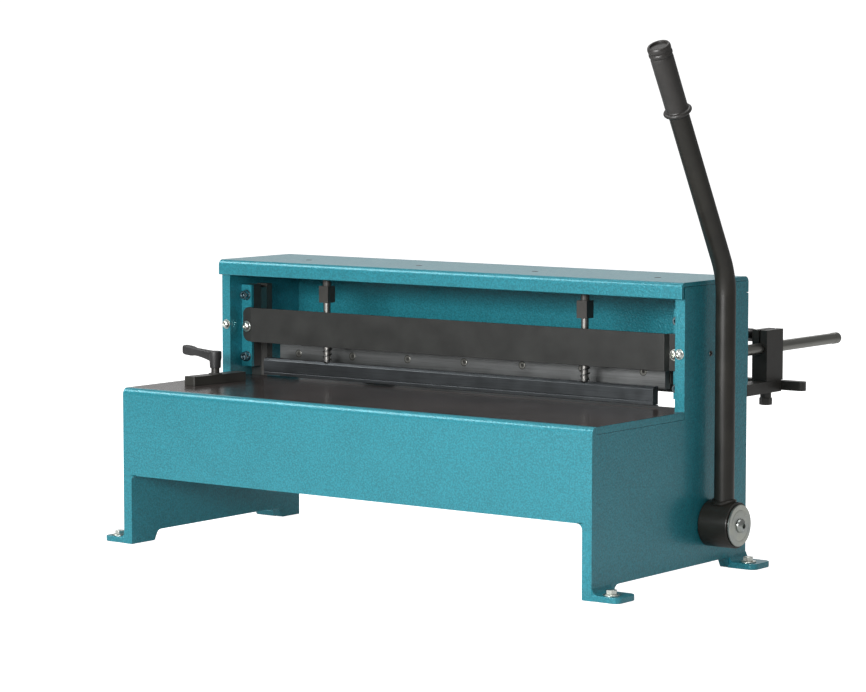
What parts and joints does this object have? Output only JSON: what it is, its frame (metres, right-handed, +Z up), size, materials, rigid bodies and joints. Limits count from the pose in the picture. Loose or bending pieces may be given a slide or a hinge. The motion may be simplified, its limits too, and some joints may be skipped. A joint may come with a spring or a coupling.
{
  "type": "bench guillotine shear",
  "caption": "Lever-operated bench guillotine shear for sheet metal, with hold-down, finger guard, angle stop and back gauge.",
  "frame": {"origin": "middle of the whole machine's footprint at bench level", "axes": "+X along the working width to the lever side, +Y from the operator to the back gauge, +Z up"},
  "size_m": [0.895, 0.714, 0.7097],
  "materials": {
    "teal_paint": "teal textured hammertone enamel, semi-gloss",
    "table_steel": "blackened steel plate, semi-gloss",
    "black_steel": "black oxide or black paint, satin",
    "guard_coating": "dark grey powder coat, satin",
    "blade_steel": "ground tool steel",
    "rod_steel": "ground bright steel",
    "spring_steel": "oiled spring steel",
    "bush_metal": "sintered bearing bush",
    "zinc_fasteners": "bright zinc plate",
    "black_plastic": "moulded black plastic or rubber"
  },
  "bodies": {
    "frame": {"side_plate_left": "teal_paint", "side_plate_right": "teal_paint", "front_apron": "teal_paint", "work_table": "table_steel", "top_cover": "teal_paint", "rear_panel": "teal_paint", "foot_bolt_front_left": "zinc_fasteners", "foot_bolt_front_right": "zinc_fasteners", "foot_bolt_rear_left": "zinc_fasteners", "foot_bolt_rear_right": "zinc_fasteners", "lower_blade_beam": "black_steel", "lower_blade": "blade_steel", "guide_cap_left": "teal_paint", "guide_front_left": "black_steel", "guide_rear_left": "black_steel", "guide_screw_lower_left": "black_steel", "guide_screw_upper_left": "black_steel", "guide_cap_right": "teal_paint", "guide_front_right": "black_steel", "guide_rear_right": "black_steel", "guide_screw_lower_right": "black_steel", "guide_screw_upper_right": "black_steel", "finger_guard": "guard_coating", "guard_screw_left": "zinc_fasteners", "hold_down_guide_left": "black_steel", "gauge_rod_left": "rod_steel", "shaft_bush_left": "bush_metal", "guard_screw_right": "zinc_fasteners", "hold_down_guide_right": "black_steel", "gauge_rod_right": "rod_steel", "shaft_bush_right": "bush_metal"},
    "lever": {"lever_shaft": "rod_steel", "hand_lever": "black_steel", "lever_grip": "black_plastic", "boss_washer": "zinc_fasteners", "boss_screw": "zinc_fasteners", "crank_left": "rod_steel", "crank_right": "rod_steel"},
    "blade_carriage": {"upper_beam": "black_steel", "upper_blade": "blade_steel", "slide_bar_left": "rod_steel", "slide_bar_right": "rod_steel"},
    "hold_down": {"hold_down_bar": "black_steel", "hold_down_rod_left": "rod_steel", "hold_down_spring_left": "spring_steel", "hold_down_rod_right": "rod_steel", "hold_down_spring_right": "spring_steel"},
    "back_gauge": {"gauge_block_left": "black_steel", "gauge_arm_left": "black_steel", "gauge_bolt_left": "black_steel", "gauge_block_right": "black_steel", "gauge_arm_right": "black_steel", "gauge_bolt_right": "black_steel", "gauge_stop_bar": "black_steel", "gauge_crossbar": "black_steel"},
    "gauge_clamp_left": {"gauge_clamp_lever_left": "black_plastic"},
    "gauge_clamp_right": {"gauge_clamp_lever_right": "black_plastic"},
    "angle_stop": {"angle_stop": "black_steel"},
    "stop_clamp": {"angle_stop_clamp_lever": "black_plastic"}
  },
  "joints": [
    {"name": "lever_turn", "type": "hinge", "parent": "frame", "child": "lever", "pos_m": [-0.0075, -0.077, 0.068], "axis": [1, 0, 0], "range_deg": [0, 65]},
    {"name": "blade_slide", "type": "slide", "parent": "frame", "child": "blade_carriage", "axis": [0, 0, 1], "range_m": [-0.0302, 0]},
    {"name": "hold_down_slide", "type": "slide", "parent": "frame", "child": "hold_down", "axis": [0, 0, 1], "range_m": [-0.003, 0], "deforming": ["hold_down_spring_left", "hold_down_spring_right"]},
    {"name": "back_gauge_slide", "type": "slide", "parent": "frame", "child": "back_gauge", "axis": [0, 1, 0], "range_m": [-0.095, 0.158]},
    {"name": "gauge_clamp_turn_left", "type": "hinge", "parent": "back_gauge", "child": "gauge_clamp_left", "pos_m": [-0.3275, 0.162, 0.2985], "axis": [1, 0, 0], "range_deg": [-60, 60]},
    {"name": "gauge_clamp_turn_right", "type": "hinge", "parent": "back_gauge", "child": "gauge_clamp_right", "pos_m": [0.3125, 0.162, 0.2985], "axis": [1, 0, 0], "range_deg": [-60, 60]},
    {"name": "angle_stop_turn", "type": "hinge", "parent": "frame", "child": "angle_stop", "pos_m": [-0.3455, -0.229, 0.232], "axis": [0, 0, 1], "range_deg": [-45, 45]},
    {"name": "stop_clamp_turn", "type": "hinge", "parent": "angle_stop", "child": "stop_clamp", "pos_m": [-0.3455, -0.229, 0.262], "axis": [0, 0, 1], "range_deg": [-60, 60]}
  ],
  "couplings": [
    {"joint": "blade_slide", "follows": "lever_turn", "m_per_rad": -0.026444},
    {"joint": "hold_down_slide", "follows": "lever_turn", "m_per_rad": -0.002618}
  ]
}
